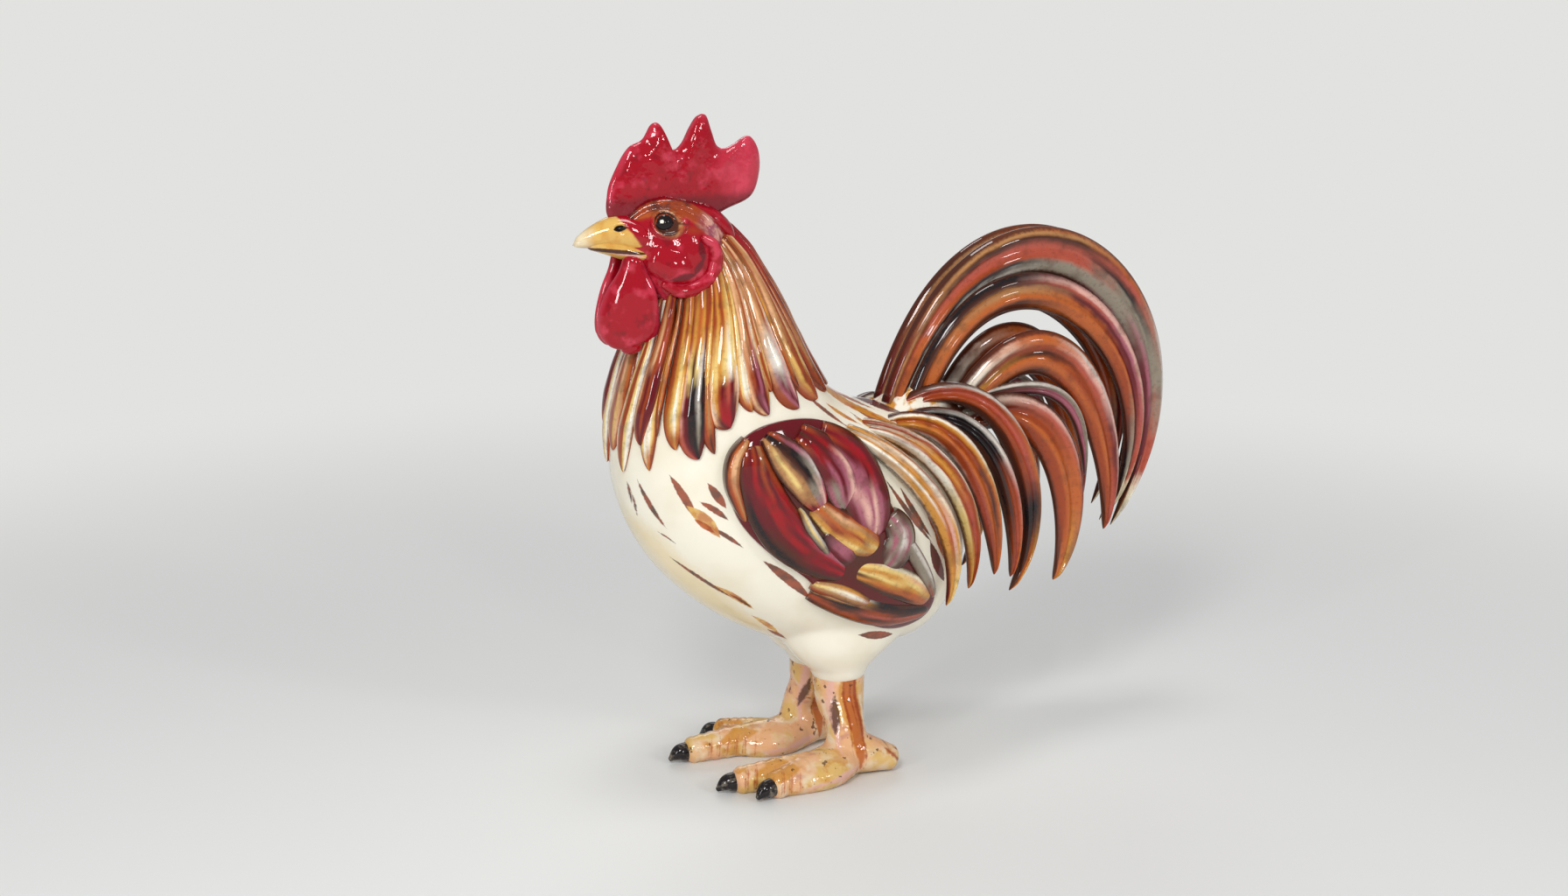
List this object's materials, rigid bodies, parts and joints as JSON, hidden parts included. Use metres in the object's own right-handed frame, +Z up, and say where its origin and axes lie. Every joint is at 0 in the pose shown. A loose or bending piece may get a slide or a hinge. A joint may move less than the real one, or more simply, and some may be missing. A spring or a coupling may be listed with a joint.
{
  "type": "ceramic rooster figurine",
  "caption": "Glazed ceramic rooster standing on two feet, with comb, wattles, fluted neck feathers, petalled wings and arched sickle tail; a free-standing kitchen ornament",
  "frame": {"origin": "middle of the bounding box on the ground under the feet", "axes": "+Z up; the beak points along -X and the tail along +X; +Y is across the bird, with its left side facing -Y"},
  "size_m": [0.296, 0.11, 0.2995],
  "materials": {
    "cream_glaze": "cream white underglaze on earthenware, clear gloss glaze",
    "crimson_glaze": "crimson underglaze mottled with pink, clear gloss glaze",
    "ochre_glaze": "ochre underglaze, clear gloss glaze",
    "black_glaze": "black underglaze, clear gloss glaze",
    "honey_glaze": "honey, cream and rust brush strokes, clear gloss glaze",
    "wine_glaze": "wine red, mauve and orange feather strokes, clear gloss glaze",
    "tan_glaze": "tan underglaze, clear gloss glaze",
    "coral_glaze": "coral underglaze, clear gloss glaze",
    "rust_glaze": "rust brown underglaze, clear gloss glaze",
    "grey_glaze": "grey-white underglaze, clear gloss glaze",
    "umber_glaze": "umber underglaze, clear gloss glaze",
    "flesh_glaze": "peach underglaze with ochre strokes, clear gloss glaze"
  },
  "bodies": {
    "root": {"body": "cream_glaze", "tail_root": "cream_glaze", "head": "crimson_glaze", "comb": "crimson_glaze", "wattle_left": "crimson_glaze", "wattle_right": "crimson_glaze", "earlobe_left": "crimson_glaze", "earlobe_right": "crimson_glaze", "beak_upper": "ochre_glaze", "beak_lower": "ochre_glaze", "eye_left": "black_glaze", "eye_right": "black_glaze", "hackle_cape": "honey_glaze", "wing_left": "wine_glaze", "wing_right": "wine_glaze", "tail_sickle_outer_left": "tan_glaze", "tail_sickle_outer_right": "tan_glaze", "tail_sickle_inner_left": "coral_glaze", "tail_sickle_inner_right": "coral_glaze", "tail_middle_arc_left": "rust_glaze", "tail_middle_arc_right": "rust_glaze", "tail_slender_feather_left": "grey_glaze", "tail_slender_feather_right": "grey_glaze", "tail_lower_arc_left": "coral_glaze", "tail_lower_arc_right": "coral_glaze", "covert_upper_left": "umber_glaze", "covert_upper_right": "umber_glaze", "covert_lower_left": "black_glaze", "covert_lower_right": "black_glaze", "saddle_rear_left": "honey_glaze", "saddle_rear_right": "honey_glaze", "saddle_middle_left": "rust_glaze", "saddle_middle_right": "rust_glaze", "saddle_front_left": "honey_glaze", "saddle_front_right": "honey_glaze", "leg_left": "flesh_glaze", "leg_right": "flesh_glaze", "claw_inner_left": "black_glaze", "claw_outer_left": "black_glaze", "claw_inner_right": "black_glaze", "claw_outer_right": "black_glaze"}
  },
  "joints": []
}
